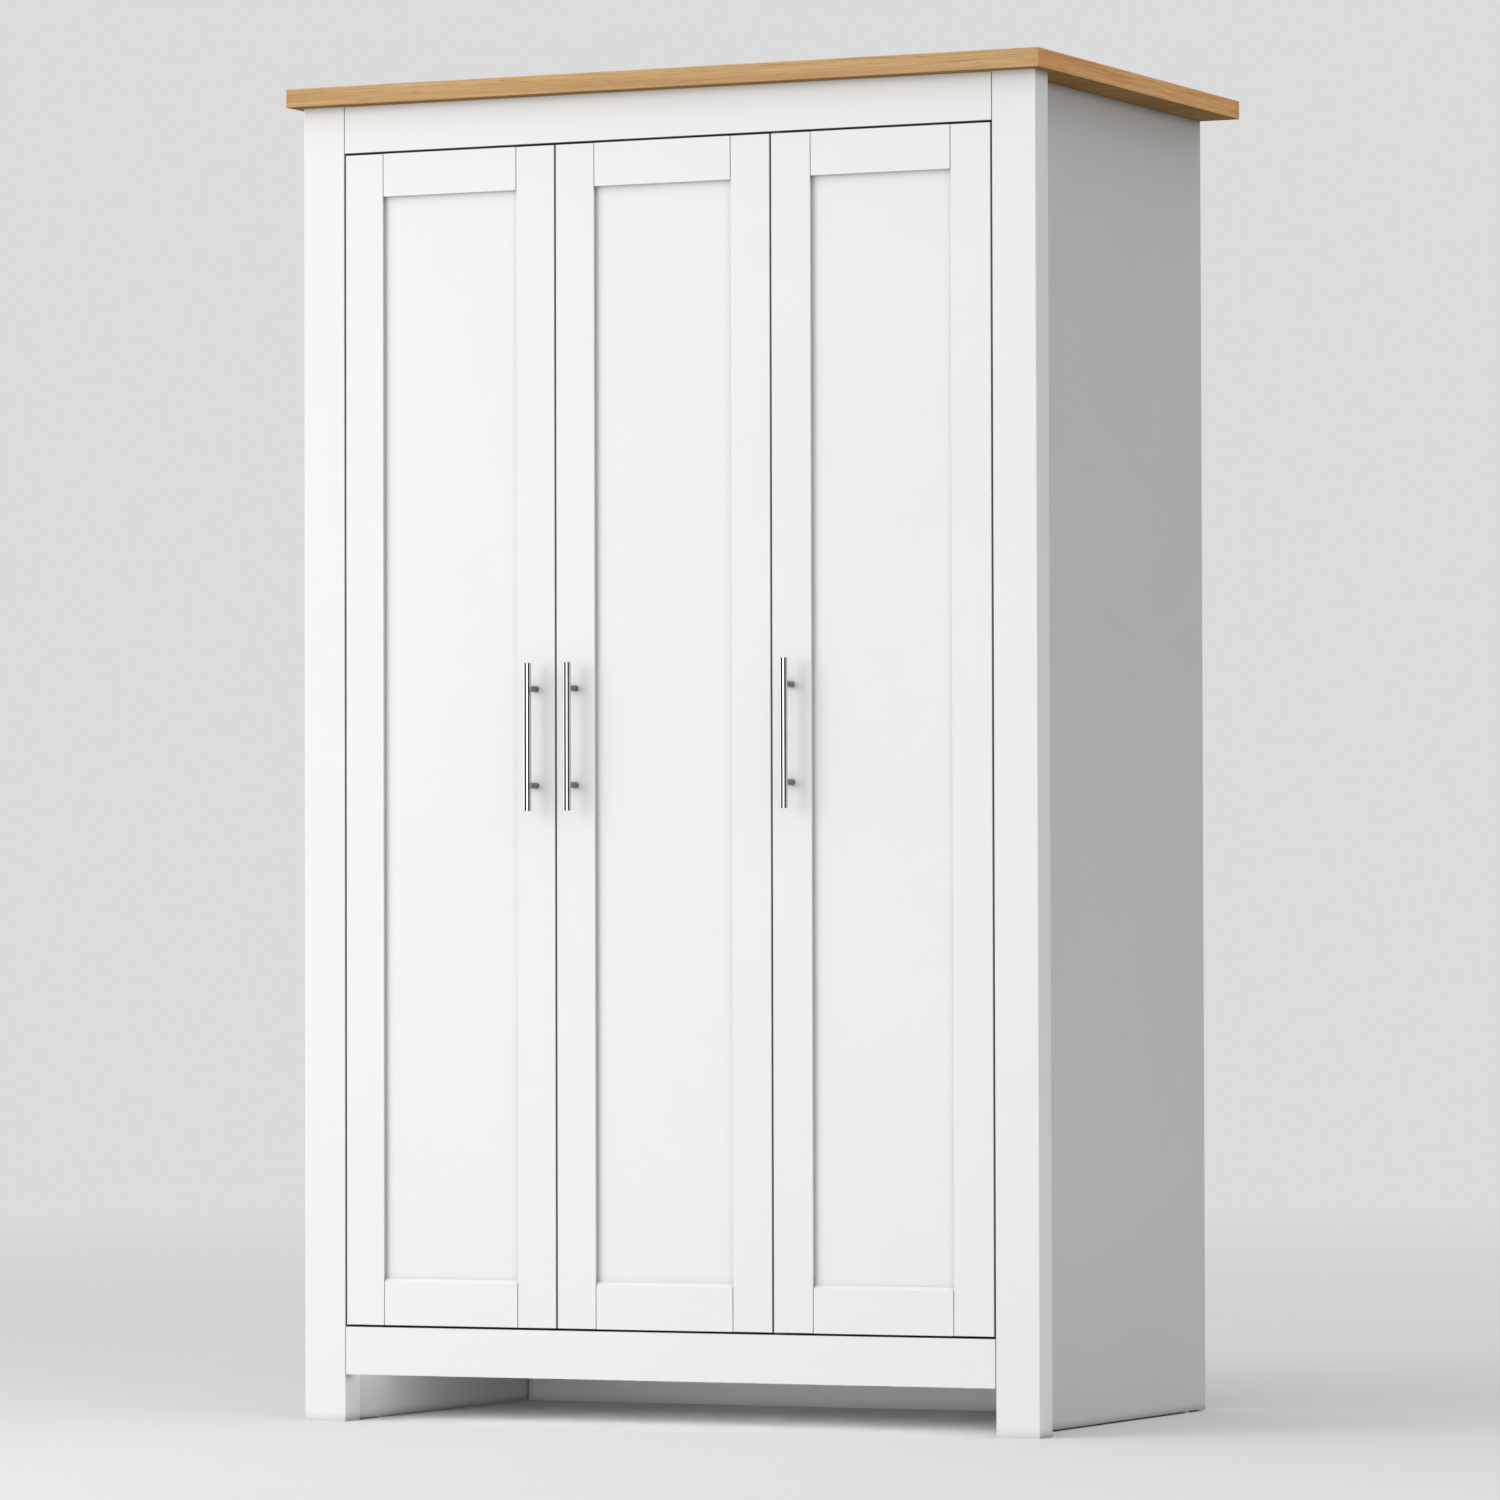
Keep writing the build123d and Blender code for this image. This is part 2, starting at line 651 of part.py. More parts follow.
def handle_bar(x):
    """The round bar, bored from behind for its two legs."""
    axis = front - handle_standoff
    with BuildPart() as bar:
        with BuildSketch(Plane.XY.offset(handle_height - handle_length / 2)):
            with Locations((x, axis)):
                Circle(handle_diameter / 2)
        extrude(amount=handle_length)
        chamfer(bar.edges().filter_by(GeomType.CIRCLE), handle_end_chamfer)
        with Locations(*[
            facing(x, axis + handle_diameter / 2, handle_height + side * handle_centres / 2, (0, 1, 0))
            for side in (-1, 1)
        ]):
            Hole(handle_leg_diameter / 2 + handle_bore_clearance, handle_leg_seat)
    return bar


def handle_legs(x):
    """The two legs between the door and the bar, each tapped for a screw."""
    leg_length = handle_standoff - handle_diameter / 2 + handle_leg_seat
    with BuildPart() as legs:
        for side in (-1, 1):
            foot = facing(x, front, handle_height + side * handle_centres / 2, (0, -1, 0))
            with BuildSketch(foot):
                Circle(handle_leg_diameter / 2)
            extrude(amount=leg_length)
            with BuildSketch(foot):
                Circle(screw_diameter / 2)
            extrude(amount=screw_grip, mode=Mode.SUBTRACT)
    return legs


def hinge_cups(door_edge, inward):
    """The cups let into the door, with their flanges, link brackets and screws."""
    x = door_edge + inward * cup_centre_distance
    cup_radius = cup_diameter / 2 - cup_clearance
    cup_bottom = doors_back - cup_depth
    flange_face = doors_back + cup_flange_thickness
    with BuildPart() as cups:
        for height in hinge_heights:
            with BuildSketch(facing(x, cup_bottom, height, (0, 1, 0))):
                Circle(cup_radius)
            extrude(amount=cup_depth)
            with BuildSketch(Plane(origin=(x, doors_back, height), x_dir=(0, 0, 1), z_dir=(0, 1, 0))):
                Circle(cup_radius + cup_flange_width)
                with Locations((0, inward * cup_ear_offset)):
                    SlotOverall(cup_ear_length, cup_ear_width)
            extrude(amount=cup_flange_thickness)
            with BuildSketch(facing(x, cup_bottom + cup_wall, height, (0, 1, 0))):
                Circle(cup_radius - cup_wall)
            extrude(amount=cup_depth + cup_flange_thickness, mode=Mode.SUBTRACT)
            plane = hinge_plane(door_edge, inward, height)
            bracket_foot = link_path @ 0
            cup_floor = cup_bottom + cup_wall - front
            for side in (-1, 1):
                with BuildSketch(plane.offset(side * bracket_inner)):
                    SlotArc(link_path, link_thickness)
                    with Locations((bracket_foot.X, (cup_floor + bracket_foot.Y) / 2)):
                        Rectangle(2 * link_thickness, bracket_foot.Y - cup_floor)
                extrude(amount=side * cheek_thickness)
        ear_x = x + inward * cup_ear_offset
        for height in hinge_heights:
            for side in (-1, 1):
                add(screw(
                    ear_x, flange_face, height + side * cup_screw_distance, (0, 1, 0),
                    screw_diameter, cup_screw_length, cup_screw_head_diameter, cup_screw_head_thickness,
                ).part)
    return cups


plates = []
carcass_screws = [
    screw(
        x, rear_rail_front - bracket_hole_distance, carcass_height - bracket_thickness, (0, 0, -1),
        plate_screw_diameter, plate_screw_length, plate_screw_head_diameter, plate_screw_head_thickness,
    )
    for x in bracket_places
]
for i in range(door_count):
    door_name = f"door_{i + 1}"
    door_left = first_door_left + i * door_pitch
    door_right = door_left + door_width
    hinged_left = i == 0
    inward = 1 if hinged_left else -1
    hinge_edge = door_left if hinged_left else door_right
    free_edge = door_right if hinged_left else door_left
    handle_x = free_edge - inward * stile_width / 2
    carcass_face = (-opening_edge, partition_left, opening_edge)[i]
    face = inward * (carcass_face - hinge_edge)

    finish(stile(door_left, 1, not hinged_left), f"{door_name}_left_stile")
    finish(stile(door_right, -1, hinged_left), f"{door_name}_right_stile")
    finish(door_rail(door_left, door_bottom, 1, sill_height), f"{door_name}_bottom_rail")
    finish(door_rail(door_left, door_top, -1, 0), f"{door_name}_top_rail")

    edge_in_groove = panel_groove_depth - panel_edge_clearance
    panel_inset = stile_width - edge_in_groove
    panel_bottom_inset = door_rail_height + sill_height - edge_in_groove
    panel_top_inset = door_rail_height - edge_in_groove
    panel = board(
        (door_left + panel_inset, door_right - panel_inset),
        (front + recess_depth, front + recess_depth + door_panel_thickness),
        (door_bottom + panel_bottom_inset, door_top - panel_top_inset),
        thin_panel_round,
    )
    finish(panel, f"{door_name}_panel")

    finish(handle_bar(handle_x), f"{door_name}_handle_bar")
    finish(handle_legs(handle_x), f"{door_name}_handle_legs")
    with BuildPart() as handle_screws:
        for side in (-1, 1):
            add(screw(
                handle_x, doors_back, handle_height + side * handle_centres / 2, (0, 1, 0),
                screw_diameter, door_thickness + screw_grip, screw_head_diameter, screw_head_thickness,
            ).part)
    finish(handle_screws, f"{door_name}_handle_screws")

    finish(hinge_cups(hinge_edge, inward), f"{door_name}_hinge_cups")
    finish(hinge_links(hinge_edge, inward), f"{door_name}_hinge_links")
    finish(hinge_arms(hinge_edge, inward), f"{door_name}_hinge_arms")
    for height in hinge_heights:
        plates.append(hinge_plate(hinge_plane(hinge_edge, inward, height), face))
        arm_screw_x = hinge_edge + inward * arm_far
        carcass_screws.append(screw(
            arm_screw_x, front + arm_screw_back, height, (inward, 0, 0),
            screw_diameter, arm_far - web_near + cheek_thickness, arm_screw_diameter,
            plate_screw_head_thickness,
        ))
        for side in (-1, 1):
            carcass_screws.append(screw(
                hinge_edge + inward * (face + plate_thickness),
                front + plate_front + plate_length / 2,
                height + side * plate_screw_distance, (inward, 0, 0),
                plate_screw_diameter, plate_screw_length, plate_screw_head_diameter,
                plate_screw_head_thickness,
            ))

with BuildPart() as hinge_plates:
    add([plate.part for plate in plates])
finish(hinge_plates, "hinge_plates")

with BuildPart() as all_carcass_screws:
    add([piece.part for piece in carcass_screws])
finish(all_carcass_screws, "carcass_screws")
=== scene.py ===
import json
import math

import bmesh
import bpy
from mathutils import Matrix, Vector


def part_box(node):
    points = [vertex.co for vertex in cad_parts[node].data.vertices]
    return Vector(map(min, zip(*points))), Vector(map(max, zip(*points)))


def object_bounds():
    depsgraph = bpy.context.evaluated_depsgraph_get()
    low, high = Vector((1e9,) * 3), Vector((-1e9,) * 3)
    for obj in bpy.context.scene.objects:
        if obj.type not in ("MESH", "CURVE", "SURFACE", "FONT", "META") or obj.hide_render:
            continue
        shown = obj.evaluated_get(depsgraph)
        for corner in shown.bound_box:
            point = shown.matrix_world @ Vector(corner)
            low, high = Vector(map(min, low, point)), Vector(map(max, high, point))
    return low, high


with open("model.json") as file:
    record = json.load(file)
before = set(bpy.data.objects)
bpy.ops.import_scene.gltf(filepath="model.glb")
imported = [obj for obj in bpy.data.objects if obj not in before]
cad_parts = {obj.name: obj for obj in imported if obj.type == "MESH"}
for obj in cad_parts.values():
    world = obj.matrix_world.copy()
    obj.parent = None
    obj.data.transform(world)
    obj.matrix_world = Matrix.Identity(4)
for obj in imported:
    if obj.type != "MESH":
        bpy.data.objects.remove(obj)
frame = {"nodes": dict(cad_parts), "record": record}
cad_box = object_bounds()

# Everything is in metres, in the frame's axes: X to the right, the doors face -Y, Z up, floor at z = 0.

# ---- Camera: seen from the front right, from a little below the middle, through a long lens ----
CAMERA_PLACE = (4.448, -9.554, 0.605)
CAMERA_YAW = math.radians(25.09)       # turned towards the left from straight ahead
CAMERA_PITCH = math.radians(1.60)      # tilted up
CAMERA_ROLL = math.radians(0.144)
LENS = 187.1
SENSOR = 36.0

# ---- Light ----
# Azimuths are from straight in front of the doors, positive to the right.
BACKDROP = 0.71                        # brightness behind the object
SKY = 0.32                             # soft light from all round
FRONT_GLOW = 0.41                      # more of it from the front left
FRONT_GLOW_SIDE = (-0.36, -0.87, 0.36)
TOP_GLOW = 0.56                        # and from above
LOW_LIGHT = (0.90, 0.04, 0.6)          # width, height and watts
LOW_LIGHT_GAP = 0.004                  # from the back of the bottom rail
SOFTBOXES = {                          # azimuth, elevation, distance, width, watts
    "key": (-34, 11, 4.0, 2.2, 48.5),
    "fill": (52, 25, 4.2, 2.4, 11.5),
}

# What polished metal mirrors, by azimuth: bright windows with dark walls between them.
WINDOW_BRIGHTNESS = 3.2
REFLECTED_STUDIO = (
    (-180, 0.03), (-165, 0.05), (-155, 0.80), (-56, 0.80), (-46, 0.0), (2, 0.0), (8, 1.0), (42, 1.0),
    (48, 0.0), (98, 0.02), (106, 0.32), (134, 0.32), (142, 0.03), (180, 0.03),
)

# ---- Wear, and painted shade ----
BOARD_EDGE = 0.0016                    # width of the rubbed edge of a board
PRESSED_EDGE = 0.0005                  # and of pressed steel
PAINTED_SHADE_REACH = 0.014                   # how far the painted shade of a corner runs out from it
PAINTED_CREASE_SHADE = 0.72                    # how dark the painted shade is in the innermost corner
PAINTED_TURNED_AWAY_SHADE = 0.38               # and on faces turned to the right or down, as painted shade

# ---- Floor ----
FLOOR_RADIUS = 9.0
FLOOR_FADE_START = 3.2
FLOOR_SIDES = 96


# Beyond this, a component of a surface's direction counts as facing that way.
MOSTLY = 0.7


# ======== Node helpers ========
class Graph:
    """A node tree that is built up by calls."""

    def __init__(self, tree):
        self.tree = tree
        tree.nodes.clear()

    def __call__(self, kind, values=None, **settings):
        """Adds a node, sets its properties, and sets or links its inputs."""
        node = self.tree.nodes.new("ShaderNode" + kind)
        for name, value in settings.items():
            setattr(node, name, value)
        for name, value in (values or {}).items():
            socket = node.inputs[name]
            if isinstance(value, bpy.types.NodeSocket):
                self.tree.links.new(value, socket)
            else:
                socket.default_value = value
        return node

    def math(self, operation, a, b=0.0, clamp=False):
        return self("Math", {0: a, 1: b}, operation=operation, use_clamp=clamp).outputs[0]

    def span(self, value, low, high, to_low=0.0, to_high=1.0):
        """A value's range spread over another range."""
        return self("MapRange", {
            "Value": value, "From Min": low, "From Max": high, "To Min": to_low, "To Max": to_high,
        }).outputs[0]

    def spread(self, noise, to_low=0.0, to_high=1.0):
        """The range that a noise mostly keeps to, spread over another range."""
        return self.span(noise, 0.3, 0.7, to_low, to_high)

    def noise(self, vector, scale, detail=4.0, roughness=0.5, distortion=0.0):
        return self("TexNoise", {
            "Vector": vector, "Scale": scale, "Detail": detail, "Roughness": roughness,
            "Distortion": distortion,
        }).outputs["Fac"]

    def mix(self, factor, a, b, blend="MIX"):
        """Two colours mixed."""
        node = self("Mix", data_type="RGBA", blend_type=blend)
        for index, value in ((0, factor), (6, a), (7, b)):
            if isinstance(value, bpy.types.NodeSocket):
                self.tree.links.new(value, node.inputs[index])
            else:
                node.inputs[index].default_value = value
        return node.outputs[2]

    def scaled(self, colour, factor):
        """A colour made lighter or darker."""
        return self("VectorMath", {0: colour, "Scale": factor}, operation="SCALE").outputs[0]

    def facing(self):
        """The X, Y and Z of the surface's direction."""
        return self("SeparateXYZ", {0: self("NewGeometry").outputs["Normal"]}).outputs

    def stretched(self, vector, scale):
        return self("Mapping", {"Vector": vector, "Scale": scale}).outputs[0]

    def bump(self, height, distance, strength=1.0, normal=None):
        values = {"Height": height, "Distance": distance, "Strength": strength}
        if normal is not None:
            values["Normal"] = normal
        return self("Bump", values).outputs[0]


def rgb(red, green, blue):
    return (red, green, blue, 1.0)


def new_material(name):
    """A material with an empty graph, and its object coordinates."""
    material = bpy.data.materials.new(name)
    material.use_nodes = True
    graph = Graph(material.node_tree)
    return material, graph, graph("TexCoord").outputs["Object"]


def finish_material(graph, values):
    shader = graph("BsdfPrincipled", values)
    output = graph("OutputMaterial")
    graph.tree.links.new(shader.outputs[0], output.inputs["Surface"])


def worn_edges(graph, radius):
    """1 along the object's outer edges and 0 on its flats."""
    rounded = graph("Bevel", {"Radius": radius}, samples=4).outputs[0]
    true = graph("NewGeometry").outputs["Normal"]
    alike = graph("VectorMath", {0: rounded, 1: true}, operation="DOT_PRODUCT").outputs["Value"]
    return graph.span(alike, 0.995, 0.86)


def painted_crease_shade(graph):
    """Painted shade: below 1 in inner corners and narrow gaps, most of all on their right and lower faces.
    """
    open_share = graph("AmbientOcclusion", {"Distance": PAINTED_SHADE_REACH}, samples=8).outputs["AO"]
    facing = graph.facing()
    away = graph.math("MAXIMUM", facing["X"], graph.math("MULTIPLY", facing["Z"], -1.0))
    turned_away = graph.math("GREATER_THAN", away, MOSTLY)
    darkest_painted_shade = graph.span(turned_away, 0.0, 1.0, PAINTED_CREASE_SHADE, PAINTED_TURNED_AWAY_SHADE)
    return graph.span(open_share, 0.45, 0.96, darkest_painted_shade, 1.0)


# ======== Materials ========
def lacquer(name, colour, shade, gloss_low, gloss_high):
    """Satin lacquer on board: a faint orange peel, uneven sheen, edges rubbed greyer, and painted shade in
    corners.
    """
    material, g, place = new_material(name)
    cloudy = g.spread(g.noise(place, 2.6, 3))
    tint = g.mix(cloudy, colour, shade)
    edge = g.math("MULTIPLY", worn_edges(g, BOARD_EDGE), g.span(g.noise(place, 60, 3), 0.42, 0.72))
    rubbed = g.mix(g.math("MULTIPLY", edge, 0.35), tint, rgb(0.60, 0.59, 0.57))
    # Painted shade: darker in corners and gaps, most of all on faces turned right or down.
    with_painted_shade = g.scaled(rubbed, painted_crease_shade(g))
    sheen = g.noise(place, 14, 5, 0.6)
    peel = g.noise(place, 620, 2, 0.4)
    waves = g.noise(place, 40, 2)
    normal = g.bump(peel, 0.00003, 0.5, g.bump(waves, 0.0003, 0.25))
    finish_material(g, {
        "Base Color": with_painted_shade,
        "Roughness": g.spread(sheen, gloss_low, gloss_high),
        "IOR": 1.45,
        "Normal": normal,
    })
    return material


def oak(name):
    """Oak veneer with its fibres along the board and along each edge, painted lighter and warmer on the
    ends, and painted shade below.
    """
    material, g, place = new_material(name)
    facing = g.facing()
    on_end = g.math("GREATER_THAN", g.math("ABSOLUTE", facing["X"]), MOSTLY)
    underneath = g.math("LESS_THAN", facing["Z"], -0.5)
    x, y, z = g("SeparateXYZ", {0: place}).outputs
    along = g("Mix", {0: on_end, 2: x, 3: y}, data_type="FLOAT").outputs[0]
    across = g("Mix", {0: on_end, 2: y, 3: x}, data_type="FLOAT").outputs[0]

    leaf_width = 0.142
    first_leaf = 10.02                 # far in front of the board, so that every leaf counts up from it
    leaf = g.math("FLOOR", g.math("DIVIDE", g.math("ADD", across, first_leaf), leaf_width))
    leaf = g.math("MULTIPLY", leaf, g.math("SUBTRACT", 1.0, on_end))
    chance = g("TexWhiteNoise", {"W": leaf}, noise_dimensions="1D").outputs[0]
    fibres = g("CombineXYZ", {
        "X": g.math("ADD", along, g.math("MULTIPLY", chance, 7.0)),
        "Y": across,
        "Z": z,
    }).outputs[0]

    wander = g.noise(g.stretched(fibres, (1.3, 9, 9)), 1.0, 3)
    rings_at = g.math("ADD", g.math("MULTIPLY", wander, 0.09), g.math("ADD", across, z))
    rings = g("TexWave", {
        "Vector": g("CombineXYZ", {"X": rings_at}).outputs[0], "Scale": 38.0, "Distortion": 1.2,
        "Detail": 2.0,
    }, wave_profile="SIN").outputs["Fac"]
    streaks = g.noise(g.stretched(fibres, (2.2, 110, 110)), 1.0, 6, 0.6)
    fine = g.noise(g.stretched(fibres, (9, 620, 620)), 1.0, 4, 0.6)
    pores = g.noise(g.stretched(fibres, (38, 1500, 1500)), 1.0, 2)
    pore = g.span(pores, 0.60, 0.70)

    light = rgb(0.60, 0.385, 0.180)
    middle = rgb(0.50, 0.295, 0.122)
    dark = rgb(0.34, 0.180, 0.068)
    tint = g.mix(g.span(streaks, 0.40, 0.60), light, middle)
    tint = g.mix(g.math("MULTIPLY", g.span(rings, 0.45, 1.0), 0.45), tint, middle)
    tint = g.mix(g.math("MULTIPLY", g.span(fine, 0.50, 0.66), 0.62), tint, dark)
    tint = g.mix(g.math("MULTIPLY", pore, 0.55), tint, rgb(0.22, 0.110, 0.042))
    leaf_tone = g.span(chance, 0.0, 1.0, 0.93, 1.07)
    edge = g.math("MULTIPLY", worn_edges(g, BOARD_EDGE), 0.25)
    worn = g.mix(edge, g.scaled(tint, leaf_tone), rgb(0.66, 0.46, 0.25))
    # Painted shade: the underside is darkened to about half.
    painted_shade_below = g.scaled(worn, g.span(underneath, 0.0, 1.0, 1.0, 0.52))
    # Painted light: the end faces are made lighter and warmer.
    painted_light_on_ends = g.mix(1.0, painted_shade_below, rgb(1.34, 1.16, 0.95), "MULTIPLY")

    height = g.math("SUBTRACT", g.math("MULTIPLY", fine, 0.4), pore)
    finish_material(g, {
        "Base Color": g.mix(on_end, painted_shade_below, painted_light_on_ends),
        "Roughness": g.spread(streaks, 0.46, 0.60),
        "IOR": 1.46,
        "Specular IOR Level": g.span(underneath, 0.0, 1.0, 0.5, 0.0),
        "Normal": g.bump(height, 0.00006, 0.6),
    })
    return material


def hardboard(name):
    """Thin fibreboard: a white printed face inside the wardrobe, and bare brown fibres behind."""
    material, g, place = new_material(name)
    bare = g.math("GREATER_THAN", g.facing()["Y"], 0.3)
    fibres = g.noise(g.stretched(place, (240, 240, 240)), 1.0, 6, 0.7, 1.2)
    blotches = g.noise(place, 9, 4)
    brown = g.mix(g.spread(fibres), rgb(0.32, 0.205, 0.115), rgb(0.50, 0.355, 0.220))
    brown = g.mix(g.math("MULTIPLY", g.spread(blotches), 0.4), brown, rgb(0.36, 0.235, 0.135))
    white = g.mix(g.spread(blotches), rgb(0.78, 0.78, 0.765), rgb(0.745, 0.745, 0.73))
    screen = g("TexWave", {
        "Vector": place, "Scale": 260.0, "Distortion": 3.0, "Detail": 2.0,
    }, bands_direction="DIAGONAL").outputs["Fac"]
    smooth = g.math("MULTIPLY", fibres, 0.15)
    rough = g.math("ADD", fibres, g.math("MULTIPLY", screen, 0.5))
    height = g.mix(bare, smooth, rough)
    finish_material(g, {
        "Base Color": g.mix(bare, white, brown),
        "Roughness": g.span(bare, 0.0, 1.0, 0.5, 0.85),
        "Normal": g.bump(height, 0.0002, 0.5),
    })
    return material


def chrome(name):
    """Polished chrome with faint wipe marks."""
    material, g, place = new_material(name)
    wipes = g.noise(g.stretched(place, (160, 160, 22)), 1.0, 5, 0.6)
    dull = g.span(g.noise(place, 70, 4), 0.45, 0.75)
    finish_material(g, {
        "Base Color": g.mix(dull, rgb(0.52, 0.52, 0.525), rgb(0.47, 0.47, 0.475)),
        "Metallic": 1.0,
        "Roughness": g.spread(wipes, 0.03, 0.06),
        "Normal": g.bump(wipes, 0.000003, 0.3),
    })
    return material


def brushed_steel(name, tone):
    """Drawn or turned steel: fine lines along it, over a darker sheen."""
    material, g, place = new_material(name)
    light = rgb(tone, tone, tone)
    dark = rgb(0.8 * tone, 0.79 * tone, 0.77 * tone)
    lines = g.noise(g.stretched(place, (900, 900, 60)), 1.0, 3)
    finish_material(g, {
        "Base Color": g.mix(g.spread(lines), light, dark),
        "Metallic": 1.0,
        "Roughness": g.spread(lines, 0.20, 0.32),
        "Normal": g.bump(lines, 0.00001, 0.5),
    })
    return material


def zinc(name):
    """Zinc-plated pressed steel: soft spangles, and edges rubbed brighter."""
    material, g, place = new_material(name)
    spangle = g("TexVoronoi", {"Vector": place, "Scale": 420.0}).outputs["Distance"]
    cloud = g.noise(place, 90, 4)
    tint = g.mix(g.spread(cloud), rgb(0.60, 0.61, 0.63), rgb(0.47, 0.48, 0.50))
    tint = g.mix(g.math("MULTIPLY", worn_edges(g, PRESSED_EDGE), 0.6), tint, rgb(0.80, 0.80, 0.80))
    finish_material(g, {
        "Base Color": tint,
        "Metallic": 1.0,
        "Roughness": g.span(spangle, 0.0, 1.0, 0.24, 0.44),
        "Normal": g.bump(spangle, 0.00003, 0.3),
    })
    return material


def plastic(name):
    """Moulded white plastic with a fine spark-eroded texture."""
    material, g, place = new_material(name)
    grain = g.noise(place, 1600, 2)
    cloud = g.noise(place, 30, 3)
    finish_material(g, {
        "Base Color": g.mix(g.spread(cloud), rgb(0.80, 0.80, 0.78), rgb(0.75, 0.75, 0.73)),
        "Roughness": g.spread(grain, 0.36, 0.50),
        "IOR": 1.49,
        "Subsurface Weight": 0.05,
        "Subsurface Radius": (0.002, 0.002, 0.002),
        "Normal": g.bump(grain, 0.00003, 0.4),
    })
    return material


def dress_nodes():
    """Gives every CAD node its material."""
    paint = lacquer("white_lacquer", rgb(0.84, 0.84, 0.835), rgb(0.825, 0.825, 0.82), 0.34, 0.44)
    by_slot = {
        "white_lacquer": paint,
        "oak_board": oak("oak_board"),
        "hardboard": hardboard("hardboard"),
        "chrome": chrome("chrome"),
        "zinc_steel": zinc("zinc_steel"),
        "white_plastic": plastic("white_plastic"),
    }
    # Painted shade: the side panels get a darker copy of the white, standing in for the lesser light on
    # the sides.
    foil_painted_shade = lacquer("white_foil_painted_shade", rgb(0.645, 0.645, 0.643), rgb(0.632, 0.632, 0.629), 0.42, 0.52)
    leg_steel = brushed_steel("handle_leg_steel", 0.20)
    slots = {part["node"]: part["material_slot"] for part in frame["record"]["subparts"]}
    for name, node in frame["nodes"].items():
        if name.endswith("side_panel"):
            material = foil_painted_shade
        elif name.endswith("handle_legs"):
            material = leg_steel
        else:
            material = by_slot[slots[name]]
        node.data.materials.clear()
        node.data.materials.append(material)


# ======== Floor, light and camera ========
def make_floor():
    """A pale round floor that fades into the backdrop."""
    mesh = bpy.data.meshes.new("floor")
    shape = bmesh.new()
    bmesh.ops.create_circle(shape, cap_ends=True, radius=FLOOR_RADIUS, segments=FLOOR_SIDES)
    shape.to_mesh(mesh)
    shape.free()
    floor = bpy.data.objects.new("floor", mesh)
    bpy.context.scene.collection.objects.link(floor)

    material, g, place = new_material("floor")
    distance = g("VectorMath", {0: place}, operation="LENGTH").outputs["Value"]
    solid = g.span(distance, FLOOR_RADIUS, FLOOR_FADE_START)
    pale = g.mix(g.noise(place, 3, 3), rgb(0.74, 0.74, 0.735), rgb(0.76, 0.76, 0.755))
    matt = g("BsdfDiffuse", {"Color": pale})
    clear = g("BsdfTransparent")
    both = g("MixShader", {0: solid, 1: clear.outputs[0], 2: matt.outputs[0]})
    output = g("OutputMaterial")
    g.tree.links.new(both.outputs[0], output.inputs["Surface"])
    mesh.materials.append(material)


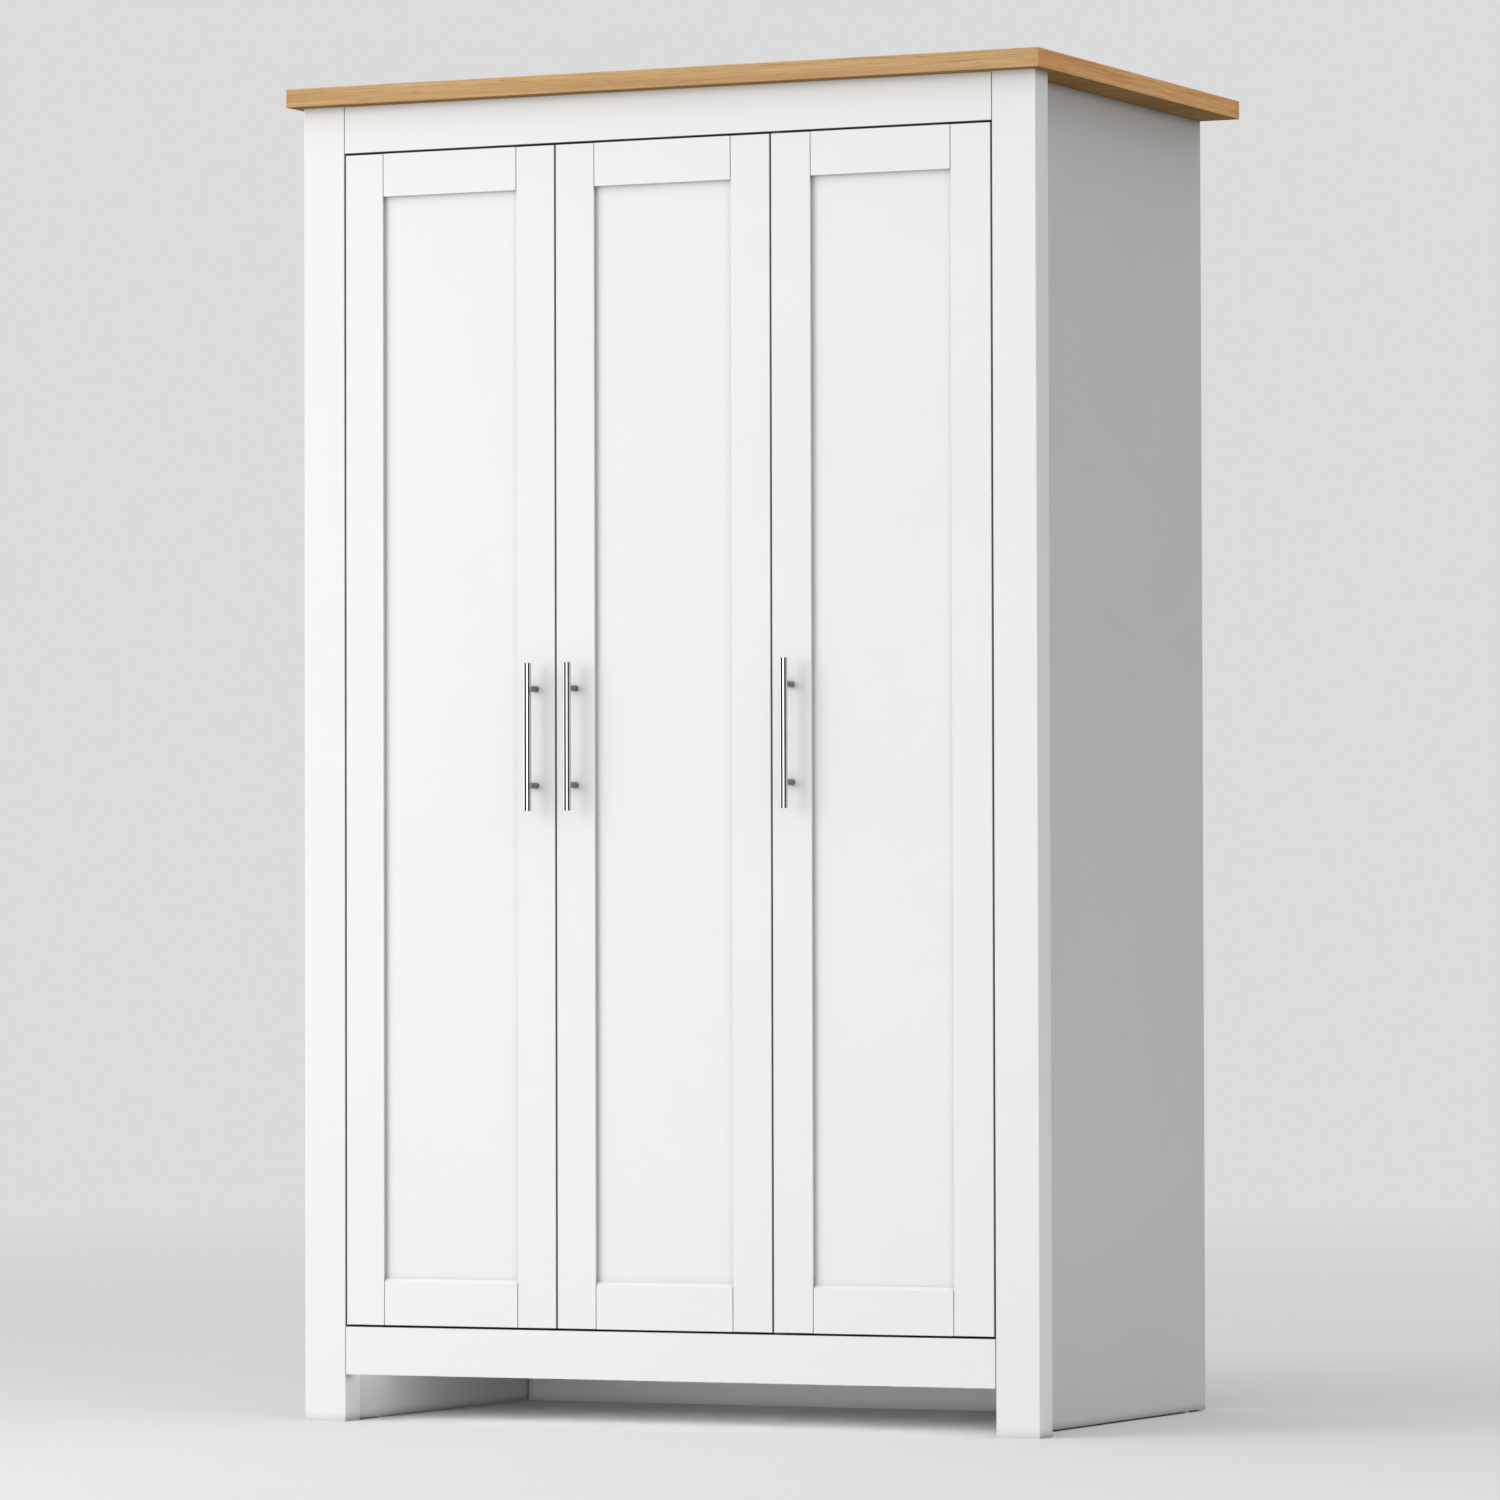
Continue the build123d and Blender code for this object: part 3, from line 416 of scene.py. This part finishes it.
def make_world():
    """Soft light for the object, a plain backdrop for the camera, and windows for what mirrors."""
    world = bpy.data.worlds.new("studio")
    bpy.context.scene.world = world
    world.use_nodes = True
    g = Graph(world.node_tree)
    direction = g("TexCoord").outputs["Generated"]
    x, y, z = g("SeparateXYZ", {0: direction}).outputs

    ahead = g("VectorMath", {0: direction, 1: FRONT_GLOW_SIDE}, operation="DOT_PRODUCT").outputs["Value"]
    front_glow = g.math("MULTIPLY", g.math("MAXIMUM", ahead, 0.0), FRONT_GLOW)
    top_glow = g.math("MULTIPLY", g.math("MAXIMUM", z, 0.0), TOP_GLOW)
    soft = g.math("ADD", g.math("ADD", front_glow, top_glow), SKY)

    azimuth = g.math("ARCTAN2", x, g.math("MULTIPLY", y, -1.0))
    ramp_node = g("ValToRGB", {0: g.span(azimuth, -math.pi, math.pi)})
    ramp = ramp_node.color_ramp
    while len(ramp.elements) < len(REFLECTED_STUDIO):
        ramp.elements.new(0.5)
    for element, (degrees, level) in zip(ramp.elements, REFLECTED_STUDIO):
        element.position = (degrees + 180) / 360
        element.color = rgb(level, level, level)

    path = g("LightPath").outputs
    windows = g.scaled(ramp_node.outputs[0], WINDOW_BRIGHTNESS)
    light = g.mix(path["Is Glossy Ray"], soft, windows)
    shown = g.mix(path["Is Camera Ray"], light, rgb(BACKDROP, BACKDROP, BACKDROP))
    background = g("Background", {"Color": shown, "Strength": 1.0})
    output = g("OutputWorld")
    g.tree.links.new(background.outputs[0], output.inputs["Surface"])


def make_softbox(name, azimuth, elevation, distance, width, watts):
    """A square soft light aimed at the middle of the object."""
    light = bpy.data.lights.new(name, "AREA")
    light.shape = "SQUARE"
    light.size = width
    light.energy = watts
    box = bpy.data.objects.new(name, light)
    bpy.context.scene.collection.objects.link(box)
    low, high = cad_box
    turn, lift = math.radians(azimuth), math.radians(elevation)
    towards = Vector((math.sin(turn) * math.cos(lift), -math.cos(turn) * math.cos(lift), math.sin(lift)))
    box.location = (low + high) / 2 + distance * towards
    box.rotation_mode = "QUATERNION"
    box.rotation_quaternion = towards.to_track_quat("Z", "Y")
    box.visible_camera = False
    box.visible_glossy = False


def make_low_light():
    """A faint strip behind the bottom rail that opens up the dark space above the floor."""
    width, height, watts = LOW_LIGHT
    light = bpy.data.lights.new("low", "AREA")
    light.shape = "RECTANGLE"
    light.size, light.size_y = width, height
    light.energy = watts
    strip = bpy.data.objects.new("low", light)
    bpy.context.scene.collection.objects.link(strip)
    low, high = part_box("bottom_front_rail")
    strip.location = ((low[0] + high[0]) / 2, high[1] + LOW_LIGHT_GAP, low[2] + height / 2)
    strip.rotation_euler = (math.pi / 2, 0.0, math.pi)
    strip.visible_camera = False
    strip.visible_glossy = False


def make_camera():
    camera = bpy.data.cameras.new("camera")
    camera.lens = LENS
    camera.sensor_width = SENSOR
    camera.clip_start, camera.clip_end = 0.1, 100.0
    view = bpy.data.objects.new("camera", camera)
    bpy.context.scene.collection.objects.link(view)
    turn = (
        Matrix.Rotation(CAMERA_YAW, 4, "Z")
        @ Matrix.Rotation(math.pi / 2 + CAMERA_PITCH, 4, "X")
        @ Matrix.Rotation(-CAMERA_ROLL, 4, "Z")
    )
    view.matrix_world = Matrix.Translation(CAMERA_PLACE) @ turn
    bpy.context.scene.camera = view


dress_nodes()
make_floor()
make_world()
for softbox, placing in SOFTBOXES.items():
    make_softbox(softbox, *placing)
make_low_light()
make_camera()
bpy.context.scene.view_settings.view_transform = "Standard"
